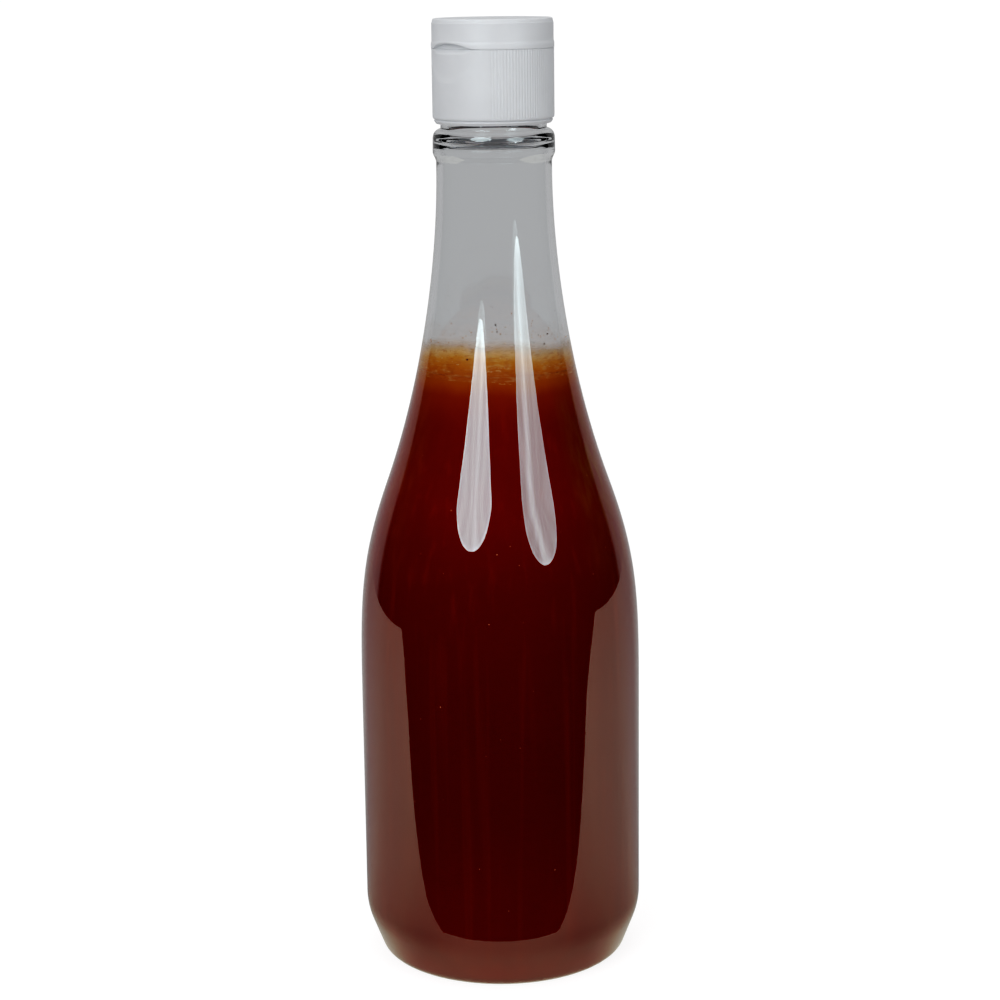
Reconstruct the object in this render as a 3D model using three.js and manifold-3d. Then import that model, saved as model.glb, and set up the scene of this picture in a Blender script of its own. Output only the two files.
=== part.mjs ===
// A clear plastic sauce bottle with a white snap cap, in millimetres, standing on z = 0 with +Z up.
// The origin is the middle of the foot. The cap's thumb notch faces -Y and its hinge faces +Y.
// Every outline is drawn in a plane of radius (x) and height (y), then turned about the upright axis.
import * as THREE from 'three';
import { mergeVertices } from 'three/addons/utils/BufferGeometryUtils.js';
import Module from 'manifold-3d';

const wasm = await Module();
wasm.setup();

// Smoothness: sides of a round form, and of the small round forms inside the cap
const SIDES = 48;
const SMALL_SIDES = 24;

// Clearance between pieces that touch on the real object
const GAP = 0.3;

// Foot of the bottle: a flat ring, a push-up inside it, and a chamfer up to a soft crease
const FOOT_RING_INNER = 24.5;
const FOOT_RING_OUTER = 28.86;
const FOOT_ROUND = 3.31;
const PUSH_UP = 3.0;
const CREASE_HEIGHT = 12.0;
const CREASE_BLEND = 1.6;

// Body and the long shoulder, an S-curve in two halves that meet at its steepest point
const BODY_RADIUS = 35.78;
const SHOULDER_START = 70.0;
const SHOULDER_TURN_HEIGHT = 124.3;
const SHOULDER_TURN_RADIUS = 28.24;
const SHOULDER_TURN_SLOPE = 0.362;
const SHOULDER_PULL = { body: 24.4, belowTurn: 19.4, aboveTurn: 26.4, neck: 23.0 };
const NECK_HEIGHT = 203.6;
const NECK_RADIUS = 14.32;

// Support bead round the neck, and the neck finish that the cap is screwed on
const BEAD_LOW = 204.9;
const BEAD_FULL = 207.4;
const BEAD_RADIUS = 15.13;
const BEAD_SHOULDER = 210.6;
const BEAD_TOP = 213.0;
const BEAD_TOP_RADIUS = 13.5;
const STEP_RADIUS = 13.1;
const FINISH_LOW = 214.1;
const FINISH_RADIUS = 12.7;
const FINISH_TOP = 229.0;
const BORE_RADIUS = 11.2;
const BORE_LOW = 207.0;

// Wall thickness of the blown bottle: at its floor, in its body and at its neck
const FLOOR_WALL = 1.2;
const BODY_WALL = 0.8;
const NECK_WALL = 1.55;

// Sauce, up to the level that shows in the shoulder
const SAUCE_LEVEL = 153.0;

// Cap base: a smooth band at the bottom, a ribbed skirt, a deck and a spout
const BAND_LOW = FINISH_LOW + GAP;
const BAND_HEIGHT = 0.85;
const BAND_RADIUS = { low: 14.2, middle: 14.5, high: 14.7 };
const CAP_BORE = FINISH_RADIUS + GAP;
const SKIRT_LOW = 215.5;
const SKIRT_TOP = 232.5;
const SKIRT_EDGE = 0.8;
const SKIRT_RADIUS = 15.0;
const SLEEVE_INNER = 13.8;
const RIB_COUNT = 120;
const RIB_VALLEY = 14.9;
const RIB_CREST = 15.04;
const PANEL_HALF_ANGLE = THREE.MathUtils.degToRad(45);
const DECK_LOW = FINISH_TOP + 0.4;
const DECK_TOP = 231.4;
const SNAP_RING = { inner: 11.6, outer: 12.9, top: 233.5, edge: 0.25 };
const SPOUT = { foot: 5.0, outer: 4.4, lip: 4.1, bore: 3.0, top: 236.4, edge: 0.4 };

// Lid: a shallow cup whose plug closes the spout
const LID_LOW = SKIRT_TOP + GAP;
const LID_TOP = 239.7;
const LID_RADIUS = 15.09;
const LID_RIM_HEIGHT = 1.2;
const LID_WAIST = 14.93;
const LID_EDGE_HEIGHT = 1.5;
const LID_EDGE_DEPTH = 0.75;
const LID_BORE = 13.3;
const LID_CORNER = 0.4;
const LID_CEILING = LID_TOP - 1.4;
const PLUG = { root: 2.5, tip: 2.1, low: 235.4, sunk: 0.5 };

// Thumb notch under the front of the lid
const NOTCH_HALF_WIDTH = 9.2;
const NOTCH_HEIGHT = 1.5;
const NOTCH_FLARE = 0.6;
const NOTCH_CROWN = 0.55;
const NOTCH_FLOOR_RADIUS = 13.95;

// Flat at the back, where the thin hinge joins the lid to the base
const HINGE_FLAT_Y = 13.9;
const HINGE_FLAT_LOW = 224.5;

const material = (color, roughness, extra = {}) => (
  new THREE.MeshStandardMaterial({ color, roughness, metalness: 0, ...extra })
);

const clearPlastic = material(0xd9dbdd, 0.08, { transparent: true, opacity: 0.35 });
const sauceFinish = material(0x3a0400, 0.25);
const capPlastic = material(0xe4e5e8, 0.42);

const at = (radius, height) => new THREE.Vector2(radius, height);

// Turns a closed outline, or one that starts and ends on the axis, about the upright axis
function turned(outline, sides = SIDES) {
  return new THREE.LatheGeometry(outline, sides).rotateX(Math.PI / 2);
}

// Closed solid of a geometry: shared corners merged and triangles without area left out
function solid(geometry) {
  geometry.deleteAttribute('normal');
  geometry.deleteAttribute('uv');
  const merged = mergeVertices(geometry, 1e-4);
  const corners = merged.index.array;
  const kept = [];
  for (let i = 0; i < corners.length; i += 3) {
    const [a, b, c] = [corners[i], corners[i + 1], corners[i + 2]];
    if (a !== b && b !== c && c !== a) kept.push(a, b, c);
  }
  return new wasm.Manifold(new wasm.Mesh({
    numProp: 3,
    vertProperties: new Float32Array(merged.attributes.position.array),
    triVerts: new Uint32Array(kept),
  }));
}

// Geometry of a joined or cut solid
function geometryOf(body) {
  const { numProp, vertProperties, triVerts } = body.getMesh();
  const positions = new Float32Array(vertProperties.length / numProp * 3);
  for (let i = 0; i < positions.length / 3; i += 1) {
    for (let k = 0; k < 3; k += 1) positions[3 * i + k] = vertProperties[numProp * i + k];
  }
  const geometry = new THREE.BufferGeometry();
  geometry.setAttribute('position', new THREE.BufferAttribute(positions, 3));
  geometry.setIndex(new THREE.BufferAttribute(new Uint32Array(triVerts), 1));
  geometry.computeVertexNormals();
  return geometry;
}

function named(name, geometry, finish) {
  const mesh = new THREE.Mesh(geometry, finish);
  mesh.name = name;
  return mesh;
}

// Outer wall of the bottle from the middle of the foot up to the neck, as smooth stretches:
// each has its curve, and how many straight steps the outside and the inside take along it
function wallStretches() {
  const run = BODY_RADIUS - FOOT_RING_OUTER;
  const rise = CREASE_HEIGHT - FOOT_ROUND;
  const tangent = Math.atan2(rise, run) - Math.acos(FOOT_ROUND / Math.hypot(run, rise));
  const chamferStart = at(
    FOOT_RING_OUTER + FOOT_ROUND * Math.cos(tangent),
    FOOT_ROUND + FOOT_ROUND * Math.sin(tangent),
  );
  const crease = at(BODY_RADIUS, CREASE_HEIGHT);
  const chamfer = crease.clone().sub(chamferStart).normalize();
  const creaseStart = crease.clone().addScaledVector(chamfer, -CREASE_BLEND);
  const creaseEnd = at(BODY_RADIUS, CREASE_HEIGHT + CREASE_BLEND);
  const shoulderStart = at(BODY_RADIUS, SHOULDER_START);
  const turn = at(SHOULDER_TURN_RADIUS, SHOULDER_TURN_HEIGHT);
  const neck = at(NECK_RADIUS, NECK_HEIGHT);
  const alongTurn = (pull) => at(turn.x - SHOULDER_TURN_SLOPE * pull, turn.y + pull);
  const pushUp = new THREE.CubicBezierCurve(
    at(0, PUSH_UP),
    at(FOOT_RING_INNER / 2, PUSH_UP),
    at(FOOT_RING_INNER / 2, 0),
    at(FOOT_RING_INNER, 0),
  );
  const lowerShoulder = new THREE.CubicBezierCurve(
    shoulderStart,
    at(BODY_RADIUS, SHOULDER_START + SHOULDER_PULL.body),
    alongTurn(-SHOULDER_PULL.belowTurn),
    turn,
  );
  const upperShoulder = new THREE.CubicBezierCurve(
    turn,
    alongTurn(SHOULDER_PULL.aboveTurn),
    at(NECK_RADIUS, NECK_HEIGHT - SHOULDER_PULL.neck),
    neck,
  );
  return [
    { curve: pushUp, outside: 4, inside: 3 },
    { curve: new THREE.LineCurve(at(FOOT_RING_INNER, 0), at(FOOT_RING_OUTER, 0)), outside: 1, inside: 1 },
    {
      curve: new THREE.EllipseCurve(
        FOOT_RING_OUTER, FOOT_ROUND, FOOT_ROUND, FOOT_ROUND, -Math.PI / 2, tangent,
      ),
      outside: 3,
      inside: 2,
    },
    { curve: new THREE.LineCurve(chamferStart, creaseStart), outside: 1, inside: 1 },
    { curve: new THREE.QuadraticBezierCurve(creaseStart, crease, creaseEnd), outside: 2, inside: 1 },
    { curve: new THREE.LineCurve(creaseEnd, shoulderStart), outside: 1, inside: 1 },
    { curve: lowerShoulder, outside: 9, inside: 6 },
    { curve: upperShoulder, outside: 8, inside: 6 },
  ];
}

// Wall thickness at a height: thick in the floor, thin in the body, thick again at the neck
function wallAt(height) {
  const { mapLinear, clamp } = THREE.MathUtils;
  if (height < CREASE_HEIGHT) return mapLinear(height, 0, CREASE_HEIGHT, FLOOR_WALL, BODY_WALL);
  const up = clamp((height - SHOULDER_START) / (NECK_HEIGHT - SHOULDER_START), 0, 1);
  return BODY_WALL + (NECK_WALL - BODY_WALL) * up;
}

// Points along the outer wall, or along a surface at some depth inside it
function trace(side, depthAt = () => 0) {
  const points = [];
  for (const stretch of wallStretches()) {
    const steps = stretch[side];
    for (let i = points.length ? 1 : 0; i <= steps; i += 1) {
      const point = stretch.curve.getPoint(i / steps);
      const along = stretch.curve.getTangent(i / steps);
      const depth = depthAt(point.y);
      points.push(at(Math.max(0, point.x - along.y * depth), point.y + along.x * depth));
    }
  }
  return points;
}

// Bead, step and neck finish, from the neck up to the rim of the mouth
function neckOutline() {
  const outline = new THREE.Path();
  outline.moveTo(NECK_RADIUS, BEAD_LOW);
  outline.bezierCurveTo(NECK_RADIUS, BEAD_LOW + 1, BEAD_RADIUS, BEAD_FULL - 0.8, BEAD_RADIUS, BEAD_FULL);
  outline.lineTo(BEAD_RADIUS - 0.05, BEAD_SHOULDER);
  outline.quadraticCurveTo(BEAD_RADIUS - 0.08, BEAD_TOP - 0.5, BEAD_TOP_RADIUS, BEAD_TOP);
  outline.lineTo(STEP_RADIUS, BEAD_TOP);
  outline.lineTo(STEP_RADIUS, FINISH_LOW);
  outline.lineTo(FINISH_RADIUS, FINISH_LOW);
  outline.lineTo(FINISH_RADIUS, FINISH_TOP - GAP);
  outline.lineTo(FINISH_RADIUS - GAP, FINISH_TOP);
  return outline.getPoints(4);
}

// The blown bottle: outer wall, neck and rim, then back down the inside to the floor
function bottleGeometry() {
  const inside = trace('inside', wallAt).reverse();
  return turned([
    ...trace('outside'),
    ...neckOutline(),
    at(BORE_RADIUS, FINISH_TOP),
    at(BORE_RADIUS, BORE_LOW),
    ...inside,
  ]);
}

// The part of an outline below a level, ending on that level
function below(outline, level) {
  const over = outline.findIndex((point) => point.y > level);
  const [last, next] = [outline[over - 1], outline[over]];
  const crossing = last.clone().lerp(next, (level - last.y) / (next.y - last.y));
  return [...outline.slice(0, over), crossing];
}

// The sauce fills the bottle to its level, just clear of the wall
function sauceGeometry() {
  const outline = below(trace('inside', (height) => wallAt(height) + GAP), SAUCE_LEVEL);
  return turned([...outline, at(0, SAUCE_LEVEL)]);
}

// Radius of the skirt at a step round it, counted in half ribs from the front:
// a smooth panel at the front, and crests and valleys in turn all round the rest
function skirtRadius(step) {
  const fromFront = Math.min(step, 2 * RIB_COUNT - step);
  if (fromFront * Math.PI / RIB_COUNT <= PANEL_HALF_ANGLE) return SKIRT_RADIUS;
  return step % 2 ? RIB_CREST : RIB_VALLEY;
}

// Outline of the skirt seen from above
function ribOutline() {
  const corners = [];
  for (let step = 0; step < 2 * RIB_COUNT; step += 1) {
    const angle = step * Math.PI / RIB_COUNT - Math.PI / 2;
    corners.push(at(Math.cos(angle), Math.sin(angle)).multiplyScalar(skirtRadius(step)));
  }
  const outline = new THREE.Shape(corners);
  outline.holes.push(new THREE.Path().absarc(0, 0, SLEEVE_INNER, 0, 2 * Math.PI, true));
  return outline;
}

// The ribbed sleeve of the skirt
function ribSleeve() {
  const low = SKIRT_LOW + SKIRT_EDGE;
  const depth = SKIRT_TOP - low;
  const sleeve = new THREE.ExtrudeGeometry(ribOutline(), {
    depth,
    bevelEnabled: false,
    curveSegments: SIDES / 2,
  });
  return solid(sleeve.translate(0, 0, low));
}

// Band, skirt, deck and snap ring of the cap base, with a round hole where the spout stands
function capBody() {
  const { low, middle, high } = BAND_RADIUS;
  const bandTop = BAND_LOW + BAND_HEIGHT;
  return solid(turned([
    at(CAP_BORE, BAND_LOW),
    at(low, BAND_LOW),
    at(middle, BAND_LOW + BAND_HEIGHT / 2),
    at(high, bandTop),
    at(middle, bandTop),
    at(middle, SKIRT_LOW),
    at(RIB_VALLEY, SKIRT_LOW + SKIRT_EDGE),
    at(RIB_VALLEY, SKIRT_TOP),
    at(SNAP_RING.outer, SKIRT_TOP),
    at(SNAP_RING.outer, SNAP_RING.top - SNAP_RING.edge),
    at(SNAP_RING.outer - SNAP_RING.edge, SNAP_RING.top),
    at(SNAP_RING.inner + SNAP_RING.edge, SNAP_RING.top),
    at(SNAP_RING.inner, SNAP_RING.top - SNAP_RING.edge),
    at(SNAP_RING.inner, DECK_TOP),
    at(SPOUT.outer, DECK_TOP),
    at(SPOUT.outer, DECK_LOW),
    at(CAP_BORE, DECK_LOW),
    at(CAP_BORE, BAND_LOW),
  ]));
}

// The spout that the sauce is poured from, flared where it leaves the deck
function spout() {
  return solid(turned([
    at(SPOUT.bore, DECK_LOW),
    at(SPOUT.foot, DECK_LOW),
    at(SPOUT.foot, DECK_TOP),
    at(SPOUT.outer, DECK_TOP + SPOUT.foot - SPOUT.outer),
    at(SPOUT.lip, SPOUT.top - SPOUT.edge),
    at(SPOUT.lip - SPOUT.edge, SPOUT.top),
    at(SPOUT.bore, SPOUT.top),
    at(SPOUT.bore, DECK_LOW),
  ], SMALL_SIDES));
}

// A block behind the hinge flat, from a height upwards
function behindHinge(low) {
  const [width, depth, height] = [2 * SKIRT_RADIUS, 4, LID_TOP - low + 1];
  const block = new THREE.BoxGeometry(width, depth, height);
  return solid(block.translate(0, HINGE_FLAT_Y + depth / 2, low + height / 2));
}

function capBaseGeometry() {
  const base = capBody().add(ribSleeve()).add(spout()).subtract(behindHinge(HINGE_FLAT_LOW));
  return geometryOf(base);
}

// The cup of the lid: top, side wall with a rounded upper edge, and open underneath
function lidCup() {
  const upperEdge = new THREE.EllipseCurve(
    LID_WAIST - LID_EDGE_DEPTH, LID_TOP - LID_EDGE_HEIGHT, LID_EDGE_DEPTH, LID_EDGE_HEIGHT, 0, Math.PI / 2,
  );
  return solid(turned([
    at(0, LID_CEILING),
    at(LID_BORE - LID_CORNER, LID_CEILING),
    at(LID_BORE, LID_CEILING - LID_CORNER),
    at(LID_BORE, LID_LOW),
    at(LID_RADIUS, LID_LOW),
    at(LID_RADIUS, LID_LOW + LID_RIM_HEIGHT),
    ...upperEdge.getPoints(4),
    at(0, LID_TOP),
  ]));
}

// The plug under the lid that closes the spout
function plug() {
  return solid(turned([
    at(0, PLUG.low),
    at(PLUG.tip, PLUG.low),
    at(PLUG.root, LID_CEILING + PLUG.sunk),
    at(0, LID_CEILING + PLUG.sunk),
  ], SMALL_SIDES));
}

// The thumb notch: an arch in the lid's lower edge, cut no deeper than the notch floor's radius
function thumbNotch() {
  const arch = new THREE.Shape();
  const half = NOTCH_HALF_WIDTH;
  const tall = NOTCH_HEIGHT;
  const flare = NOTCH_FLARE * half;
  const crown = NOTCH_CROWN * half;
  arch.moveTo(-half, -1);
  arch.lineTo(half, -1);
  arch.lineTo(half, 0);
  arch.bezierCurveTo(flare, 0, crown, tall, 0, tall);
  arch.bezierCurveTo(-crown, tall, -flare, 0, -half, 0);
  arch.closePath();
  const depth = LID_RADIUS + 1;
  const cutter = new THREE.ExtrudeGeometry(arch, { depth, bevelEnabled: false, curveSegments: 7 });
  cutter.rotateX(Math.PI / 2).translate(0, 0, LID_LOW);
  const core = turned([
    at(0, LID_LOW - 2),
    at(NOTCH_FLOOR_RADIUS, LID_LOW - 2),
    at(NOTCH_FLOOR_RADIUS, LID_TOP),
    at(0, LID_TOP),
  ]);
  return solid(cutter).subtract(solid(core));
}

function capLidGeometry() {
  const lid = lidCup().add(plug()).subtract(thumbNotch()).subtract(behindHinge(LID_LOW - 1));
  return geometryOf(lid);
}

const group = new THREE.Group();
group.add(
  named('bottle', bottleGeometry(), clearPlastic),
  named('sauce', sauceGeometry(), sauceFinish),
  named('cap_base', capBaseGeometry(), capPlastic),
  named('cap_lid', capLidGeometry(), capPlastic.clone()),
);

export default group;
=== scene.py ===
# %% [markdown]
# A clear plastic bottle of dark red sauce, with a white snap cap. The frame already holds the
# solids at their real size. This lesson dresses each one: the blown bottle, the sauce behind its
# wall, the film and droplets above the level, and the moulded cap with its ribs and hinge.
# Every form here is round, so one helper that turns an outline about the axis makes most of it.

# %% Load the frame
import math
import random

import bmesh
import bpy
from mathutils import Matrix, Vector, noise


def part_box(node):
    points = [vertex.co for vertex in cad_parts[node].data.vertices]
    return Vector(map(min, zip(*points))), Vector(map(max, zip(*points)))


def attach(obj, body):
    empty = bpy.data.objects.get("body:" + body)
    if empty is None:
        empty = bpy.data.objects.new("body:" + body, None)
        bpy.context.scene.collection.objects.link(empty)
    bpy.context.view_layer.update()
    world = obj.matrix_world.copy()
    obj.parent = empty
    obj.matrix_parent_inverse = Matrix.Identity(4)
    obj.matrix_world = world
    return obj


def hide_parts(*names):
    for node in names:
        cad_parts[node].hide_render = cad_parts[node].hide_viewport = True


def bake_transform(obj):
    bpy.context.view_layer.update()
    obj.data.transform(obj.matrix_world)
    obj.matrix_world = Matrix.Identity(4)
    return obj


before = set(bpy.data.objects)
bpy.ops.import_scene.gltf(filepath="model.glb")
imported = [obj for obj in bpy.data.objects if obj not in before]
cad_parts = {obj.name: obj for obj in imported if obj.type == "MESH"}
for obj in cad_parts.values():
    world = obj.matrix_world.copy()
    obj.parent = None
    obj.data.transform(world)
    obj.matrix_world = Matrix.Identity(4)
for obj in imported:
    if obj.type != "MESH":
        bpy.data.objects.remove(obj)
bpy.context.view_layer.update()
MM = 0.001

# %% [markdown]
# The camera stands where the photograph was taken from: about 0.6 m away, a little above the cap
# and looking down. A camera could be aimed by hand, but three measured angles and a distance keep
# it exact. The bottle leans a touch in the picture, and that is the camera's roll.

# %% Camera
VIEW_AZIMUTH = math.radians(48.0)
VIEW_DISTANCE = 606.8 * MM
VIEW_HEIGHT = 254.94 * MM
VIEW_TILT = 0.22014
VIEW_ROLL = -0.012489
FOCAL_PIXELS = 2442.06
PICTURE_PIXELS = 1000
CENTRE_PIXEL_X = 498.28
SENSOR = 36.0

toward_camera = Vector((math.sin(VIEW_AZIMUTH), -math.cos(VIEW_AZIMUTH), 0))
picture_right = Vector((math.cos(VIEW_AZIMUTH), math.sin(VIEW_AZIMUTH), 0))
straight_up = Vector((0, 0, 1))
looking = -toward_camera * math.cos(VIEW_TILT) - straight_up * math.sin(VIEW_TILT)
level_up = -toward_camera * math.sin(VIEW_TILT) + straight_up * math.cos(VIEW_TILT)
right = picture_right * math.cos(VIEW_ROLL) + level_up * math.sin(VIEW_ROLL)
up = level_up * math.cos(VIEW_ROLL) - picture_right * math.sin(VIEW_ROLL)


def level_direction(degrees):
    """The level direction so many degrees to the right of the one towards the camera."""
    turned = math.radians(degrees)
    return toward_camera * math.cos(turned) + picture_right * math.sin(turned)


def linked(name, data):
    """A new object in the scene."""
    thing = bpy.data.objects.new(name, data)
    bpy.context.scene.collection.objects.link(thing)
    return thing


camera = linked("camera", bpy.data.cameras.new("camera"))
camera.matrix_world = Matrix((
    (right.x, up.x, -looking.x, toward_camera.x * VIEW_DISTANCE),
    (right.y, up.y, -looking.y, toward_camera.y * VIEW_DISTANCE),
    (right.z, up.z, -looking.z, VIEW_HEIGHT),
    (0, 0, 0, 1),
))
camera.data.sensor_width = SENSOR
camera.data.lens = FOCAL_PIXELS * SENSOR / PICTURE_PIXELS
camera.data.shift_x = 0.5 - CENTRE_PIXEL_X / PICTURE_PIXELS
camera.data.clip_start = 0.01
bpy.context.scene.camera = camera
print("camera lens", round(camera.data.lens, 2), "mm")

# %% [markdown]
# An outline is a list of points of radius and height in millimetres. It could be drawn by hand as
# a long list, but a few lines, arcs and Bezier curves say what each stretch is, and sampling them
# finely gives the same form as the solid with no facets to be seen.

# %% Curves of an outline
def line(start, end, steps=1):
    """Points from start up to end, without end itself."""
    return [tuple(a + (b - a) * i / steps for a, b in zip(start, end)) for i in range(steps)]


def bezier(p0, p1, p2, p3, steps):
    """Points along a cubic curve, without its last point."""
    points = []
    for i in range(steps):
        t = i / steps
        weights = ((1 - t) ** 3, 3 * (1 - t) ** 2 * t, 3 * (1 - t) * t * t, t ** 3)
        points.append(tuple(sum(w * p[k] for w, p in zip(weights, (p0, p1, p2, p3))) for k in (0, 1)))
    return points


def corner(p0, p1, p2, steps):
    """Points along a curve that rounds the corner p1, without its last point."""
    near = tuple(a + (b - a) * 2 / 3 for a, b in zip(p0, p1))
    far = tuple(a + (b - a) * 2 / 3 for a, b in zip(p2, p1))
    return bezier(p0, near, far, p2, steps)


def rounded(edge, enter, leave, steps):
    """Points that round an edge. The two offsets from it say where the rounding starts and ends."""
    start = (edge[0] + enter[0], edge[1] + enter[1])
    return corner(start, edge, (edge[0] + leave[0], edge[1] + leave[1]), steps)


def arc_point(centre, radius, angle):
    """The point of a circle at an angle in radians."""
    return centre[0] + radius * math.cos(angle), centre[1] + radius * math.sin(angle)


def arc(centre, radius, start, end, steps):
    """Points along an arc, without its last point."""
    return [arc_point(centre, radius, start + (end - start) * i / steps) for i in range(steps)]


print("a corner in two steps passes", corner((1, 0), (1, 1), (0, 1), 2)[1])

# %% [markdown]
# The real bottle has a pushed-up foot, a chamfer, a straight body and a long S-shaped shoulder
# that runs into the neck. The shoulder is two Bezier curves that meet where it is steepest, and
# the foot is an arc and a chamfer with a rounded crease over it. Smooth shading would spread the
# crease's bend far up the long straight body, so a short step beside it keeps the body straight.

# %% Sizes of the bottle
BODY_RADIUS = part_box("bottle")[1][0] / MM
FOOT_RING_INNER = 24.5
FOOT_RING_OUTER = 28.86
FOOT_ROUND = 3.31
PUSH_UP = 3.0
CREASE_HEIGHT = 12.0
CREASE_BLEND = 3.3
SHADING_STEP = 0.1
SHOULDER_START = 70.0
TURN_RADIUS, TURN_HEIGHT, TURN_SLOPE = 28.24, 124.3, 0.362
PULL_BODY, PULL_BELOW, PULL_ABOVE, PULL_NECK = 24.4, 19.4, 26.4, 23.0
NECK_RADIUS = 14.32
NECK_HEIGHT = 203.6
FLOOR_WALL = 1.2
BODY_WALL = 0.8
NECK_WALL = 1.55
SAUCE_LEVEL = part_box("sauce")[1][2] / MM
print("body radius", round(BODY_RADIUS, 2), "and sauce level", round(SAUCE_LEVEL, 2))


# %% Outer wall of the bottle
def foot_outline():
    """Push-up, ring, rounded edge and chamfer of the foot, up to the straight body."""
    caustic_band, rise = BODY_RADIUS - FOOT_RING_OUTER, CREASE_HEIGHT - FOOT_ROUND
    tangent = math.atan2(rise, caustic_band) - math.acos(FOOT_ROUND / math.hypot(caustic_band, rise))
    lean = tangent + math.pi / 2
    centre = (FOOT_RING_OUTER, FOOT_ROUND)
    crease_start = (
        BODY_RADIUS - CREASE_BLEND * math.cos(lean),
        CREASE_HEIGHT - CREASE_BLEND * math.sin(lean),
    )
    crease_end = (BODY_RADIUS, CREASE_HEIGHT + CREASE_BLEND)
    half = FOOT_RING_INNER / 2
    return [
        *bezier((0, PUSH_UP), (half, PUSH_UP), (half, 0), (FOOT_RING_INNER, 0), 14),
        *line((FOOT_RING_INNER, 0), (FOOT_RING_OUTER, 0), 2),
        *arc(centre, FOOT_ROUND, -math.pi / 2, tangent, 8),
        *line(arc_point(centre, FOOT_ROUND, tangent), crease_start, 4),
        *corner(crease_start, (BODY_RADIUS, CREASE_HEIGHT), crease_end, 8),
        crease_end,
    ]


def outer_wall():
    """The outer wall from the middle of the foot to the start of the neck."""
    foot = foot_outline()
    body_start = (BODY_RADIUS, foot[-1][1] + SHADING_STEP)
    shoulder = (BODY_RADIUS, SHOULDER_START)
    turn_point = (TURN_RADIUS, TURN_HEIGHT)
    return [
        *foot,
        *line(body_start, shoulder, 12),
        *bezier(
            shoulder,
            (BODY_RADIUS, SHOULDER_START + PULL_BODY),
            (TURN_RADIUS + TURN_SLOPE * PULL_BELOW, TURN_HEIGHT - PULL_BELOW),
            turn_point,
            36,
        ),
        *bezier(
            turn_point,
            (TURN_RADIUS - TURN_SLOPE * PULL_ABOVE, TURN_HEIGHT + PULL_ABOVE),
            (NECK_RADIUS, NECK_HEIGHT - PULL_NECK),
            (NECK_RADIUS, NECK_HEIGHT),
            36,
        ),
        (NECK_RADIUS, NECK_HEIGHT),
    ]


wall = outer_wall()
print("wall outline has", len(wall), "points")


# %% Inside of the wall
def wall_at(height):
    """Thickness of the wall: thick in the floor, thin in the body, thick again at the neck."""
    if height < CREASE_HEIGHT:
        return FLOOR_WALL + (BODY_WALL - FLOOR_WALL) * height / CREASE_HEIGHT
    share = (height - SHOULDER_START) / (NECK_HEIGHT - SHOULDER_START)
    return BODY_WALL + (NECK_WALL - BODY_WALL) * min(max(share, 0), 1)


def inside(outline, depth_at):
    """The outline moved inwards, across its own direction, by the depth at each height."""
    moved = []
    for i, (radius, height) in enumerate(outline):
        before, after = outline[max(i - 1, 0)], outline[min(i + 1, len(outline) - 1)]
        along = Vector((after[0] - before[0], after[1] - before[1])).normalized()
        depth = depth_at(height)
        moved.append((max(radius - along.y * depth, 0), height + along.x * depth))
    moved[0] = (0, moved[0][1])
    return moved


def below_wall(extra):
    """The inner wall, moved so much further inwards. A negative amount reaches into the wall."""
    return inside(wall, lambda height: wall_at(height) + extra)


inner_wall = below_wall(0)
print("the wall is", wall_at(0), "mm thick in the floor and", wall_at(NECK_HEIGHT), "mm at the neck")

# %% [markdown]
# Bottles, caps and what fills them are round, so they are turned as on a lathe. Blender's Screw
# modifier can do that too. A helper of one's own also lets a function move each point, which later
# makes the ribs, the thumb notch and the uneven foam from the same few lines.

# %% Turn an outline about the axis
SMOOTH_BELOW = math.radians(32)


def mesh_from(name, bm):
    """A mesh that takes over what was built in a bmesh."""
    mesh = bpy.data.meshes.new(name)
    bm.to_mesh(mesh)
    bm.free()
    return mesh


def piece_of(name, mesh):
    """A linked object that shades smooth except across its sharp edges."""
    mesh.shade_smooth()
    mesh.set_sharp_from_angle(angle=SMOOTH_BELOW)
    return linked(name, mesh)


def turn(name, outline, sides=192, shape=None):
    """A mesh object made by turning an outline about the upright axis. shape may move a point:
    it takes radius, height and angle and gives back x, y and height, all in millimetres."""
    bm = bmesh.new()
    closed = outline[0] == outline[-1]
    rings = []
    for radius, height in outline[:-1] if closed else outline:
        if radius == 0:
            rings.append([bm.verts.new(Vector((0, 0, height)) * MM)] * sides)
            continue
        ring = []
        for i in range(sides):
            angle = 2 * math.pi * i / sides
            spot = (radius * math.cos(angle), radius * math.sin(angle), height)
            ring.append(bm.verts.new(Vector(shape(radius, height, angle) if shape else spot) * MM))
        rings.append(ring)
    if closed:
        rings.append(rings[0])
    for low, high in zip(rings, rings[1:]):
        for i in range(sides):
            k = (i + 1) % sides
            bm.faces.new(list(dict.fromkeys((low[i], low[k], high[k], high[i]))))
    return piece_of(name, mesh_from(name, bm))


def dress(piece, body, slot, material, *nodes):
    """Gives a piece its finish, the body that carries it and the solids that it stands for."""
    piece.data.materials.append(material)
    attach(piece, body)
    if nodes:
        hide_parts(*nodes)
    print(piece.name, "has", len(piece.data.polygons), "faces")


print("edges sharper than", round(math.degrees(SMOOTH_BELOW)), "degrees stay sharp")

# %% [markdown]
# A finish is a web of nodes. Adding and linking them one by one takes many lines that all look
# alike, so a small class adds a node, sets or links its inputs by name and gives back its result.

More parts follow.
